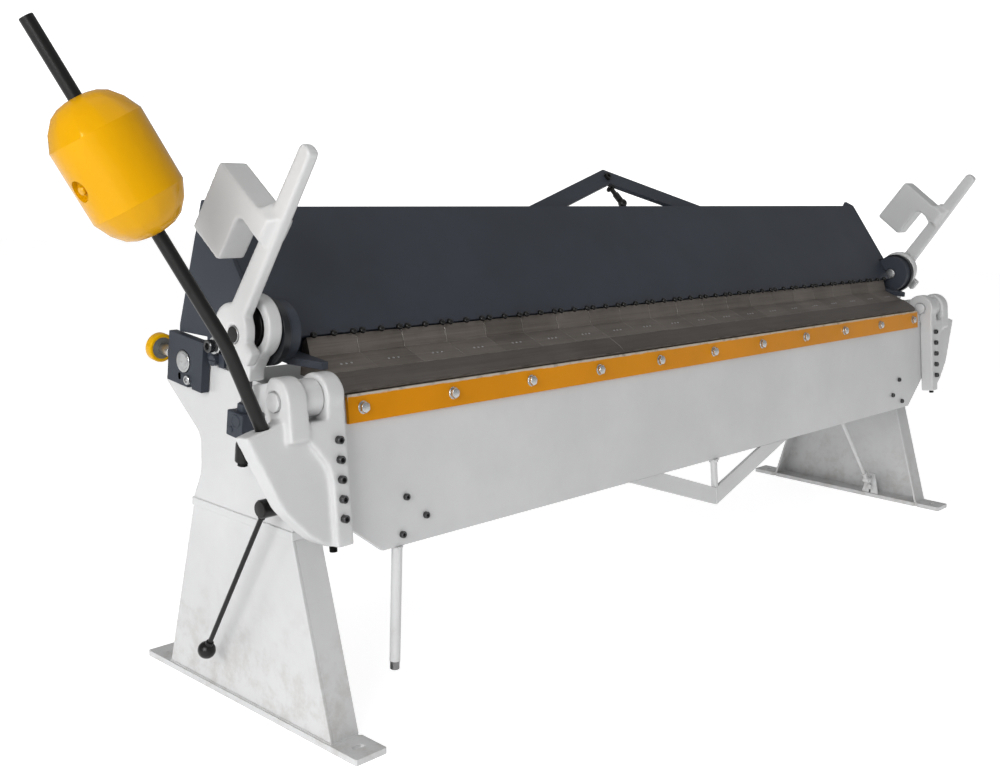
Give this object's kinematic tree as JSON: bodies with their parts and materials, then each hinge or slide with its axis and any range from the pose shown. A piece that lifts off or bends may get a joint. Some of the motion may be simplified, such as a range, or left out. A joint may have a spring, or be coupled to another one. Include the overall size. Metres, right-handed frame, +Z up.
{
  "type": "sheet metal folder",
  "caption": "Hand-operated sheet metal folder: long clamping beam with segmented nose, swinging folding beam with counterweight, eccentric clamp levers, two floor stands.",
  "frame": {"origin": "middle of the floor area that the machine covers, at floor level", "axes": "+X along the machine from the counterweight end to the plain end, +Y back from the operator, +Z up"},
  "size_m": [4.0104, 0.869, 1.6065],
  "materials": {
    "light_paint": "light grey machine enamel, semi-gloss",
    "slate_paint": "slate grey textured enamel",
    "ochre_paint": "ochre orange enamel, worn along the top edge",
    "yellow_paint": "gloss yellow enamel",
    "blade_steel": "ground tool steel with brown oil patina and bright edges",
    "bare_steel": "turned bare steel",
    "zinc_plate": "zinc plated bolts",
    "black_steel": "black oxide steel, oiled"
  },
  "bodies": {
    "frame": {"foot_left": "light_paint", "foot_right": "light_paint", "stand_web_left": "light_paint", "stand_web_right": "light_paint", "stand_front_flange_left": "light_paint", "stand_front_flange_right": "light_paint", "stand_back_flange_left": "light_paint", "stand_back_flange_right": "light_paint", "side_frame_left": "light_paint", "side_frame_right": "light_paint", "hinge_pin_left": "light_paint", "hinge_pin_right": "light_paint", "rear_pivot_pin_left": "bare_steel", "rear_pivot_pin_right": "bare_steel", "tie_rod_right": "light_paint", "bed_table": "light_paint", "bed_web": "light_paint", "bed_blade": "blade_steel"},
    "upper_beam": {"upper_base": "slate_paint", "upper_front_plate": "slate_paint", "upper_end_plate_left": "slate_paint", "upper_end_plate_right": "slate_paint", "bearing_block_left": "slate_paint", "bearing_block_right": "slate_paint", "upper_truss_arm_left": "slate_paint", "upper_truss_arm_right": "slate_paint", "upper_truss_screw": "black_steel", "tool_segments_left": "blade_steel", "tool_segments_right": "blade_steel", "nose_strip_left": "blade_steel", "nose_strip_right": "blade_steel"},
    "setback_wheel_left": {"setback_wheel_left": "yellow_paint"},
    "setback_wheel_right": {"setback_wheel_right": "yellow_paint"},
    "clamp_lever_left": {"eccentric_shaft_left": "bare_steel", "clamp_lever_left": "light_paint"},
    "clamp_lever_right": {"eccentric_shaft_right": "bare_steel", "clamp_lever_right": "light_paint"},
    "clamp_strap_left": {"clamp_strap_left": "light_paint", "swivel_block_left": "slate_paint", "sleeve_nut_left": "black_steel"},
    "clamp_strap_right": {"clamp_strap_right": "light_paint", "swivel_block_right": "slate_paint", "sleeve_nut_right": "black_steel"},
    "fold_beam": {"fold_plate": "light_paint", "fold_rail": "ochre_paint", "rail_bolts": "zinc_plate", "fold_arm_left": "light_paint", "fold_arm_right": "light_paint", "arm_bolts_left": "black_steel", "arm_bolts_right": "black_steel", "jack_screw_left": "black_steel", "jack_screw_right": "black_steel", "lower_truss_arm_left": "light_paint", "lower_truss_arm_right": "light_paint", "lower_truss_strut": "light_paint", "handle_bar": "light_paint", "counterweight_rod": "black_steel"},
    "counterweight": {"counterweight": "yellow_paint"},
    "lock_lever": {"lock_lever": "black_steel"}
  },
  "joints": [
    {"name": "clamp_lever_left", "type": "hinge", "parent": "upper_beam", "child": "clamp_lever_left", "pos_m": [-1.54077, -0.1085, 0.958], "axis": [-1, 0, 0], "range_deg": [0, 110]},
    {"name": "clamp_lever_right", "type": "hinge", "parent": "upper_beam", "child": "clamp_lever_right", "pos_m": [1.89923, -0.1085, 0.958], "axis": [-1, 0, 0], "range_deg": [0, 110]},
    {"name": "beam_lift", "type": "hinge", "parent": "frame", "child": "upper_beam", "pos_m": [0.17923, 0.2135, 0.847], "axis": [-1, 0, 0], "range_deg": [0, 3.08]},
    {"name": "clamp_strap_left", "type": "hinge", "parent": "frame", "child": "clamp_strap_left", "pos_m": [-1.49877, -0.0875, 0.745], "axis": [-1, 0, 0], "range_deg": [0, 6.6]},
    {"name": "clamp_strap_right", "type": "hinge", "parent": "frame", "child": "clamp_strap_right", "pos_m": [1.85723, -0.0875, 0.745], "axis": [-1, 0, 0], "range_deg": [0, 6.6]},
    {"name": "setback_wheel_left", "type": "hinge", "parent": "upper_beam", "child": "setback_wheel_left", "pos_m": [-1.45477, 0.21211, 0.8539], "axis": [0, 0.9951, 0.0993], "continuous": true},
    {"name": "setback_wheel_right", "type": "hinge", "parent": "upper_beam", "child": "setback_wheel_right", "pos_m": [1.81323, 0.21211, 0.8539], "axis": [0, 0.9951, 0.0993], "continuous": true},
    {"name": "fold_beam_swing", "type": "hinge", "parent": "frame", "child": "fold_beam", "pos_m": [0.17923, -0.2585, 0.8265], "axis": [-1, 0, 0], "range_deg": [0, 135]},
    {"name": "counterweight_slide", "type": "slide", "parent": "fold_beam", "child": "counterweight", "axis": [-0.4381, 0.2437, 0.8652], "range_m": [-0.16, 0.11]},
    {"name": "lock_lever_swing", "type": "hinge", "parent": "frame", "child": "lock_lever", "pos_m": [-1.48077, -0.1675, 0.559], "axis": [1, 0, 0], "range_deg": [-70, 30]}
  ],
  "couplings": [
    {"joint": "clamp_lever_right", "follows": "clamp_lever_left", "ratio": 1},
    {"joint": "beam_lift", "follows": "clamp_lever_left", "ratio": 0.028},
    {"joint": "clamp_strap_left", "follows": "clamp_lever_left", "ratio": 0.06},
    {"joint": "clamp_strap_right", "follows": "clamp_lever_left", "ratio": 0.06}
  ]
}
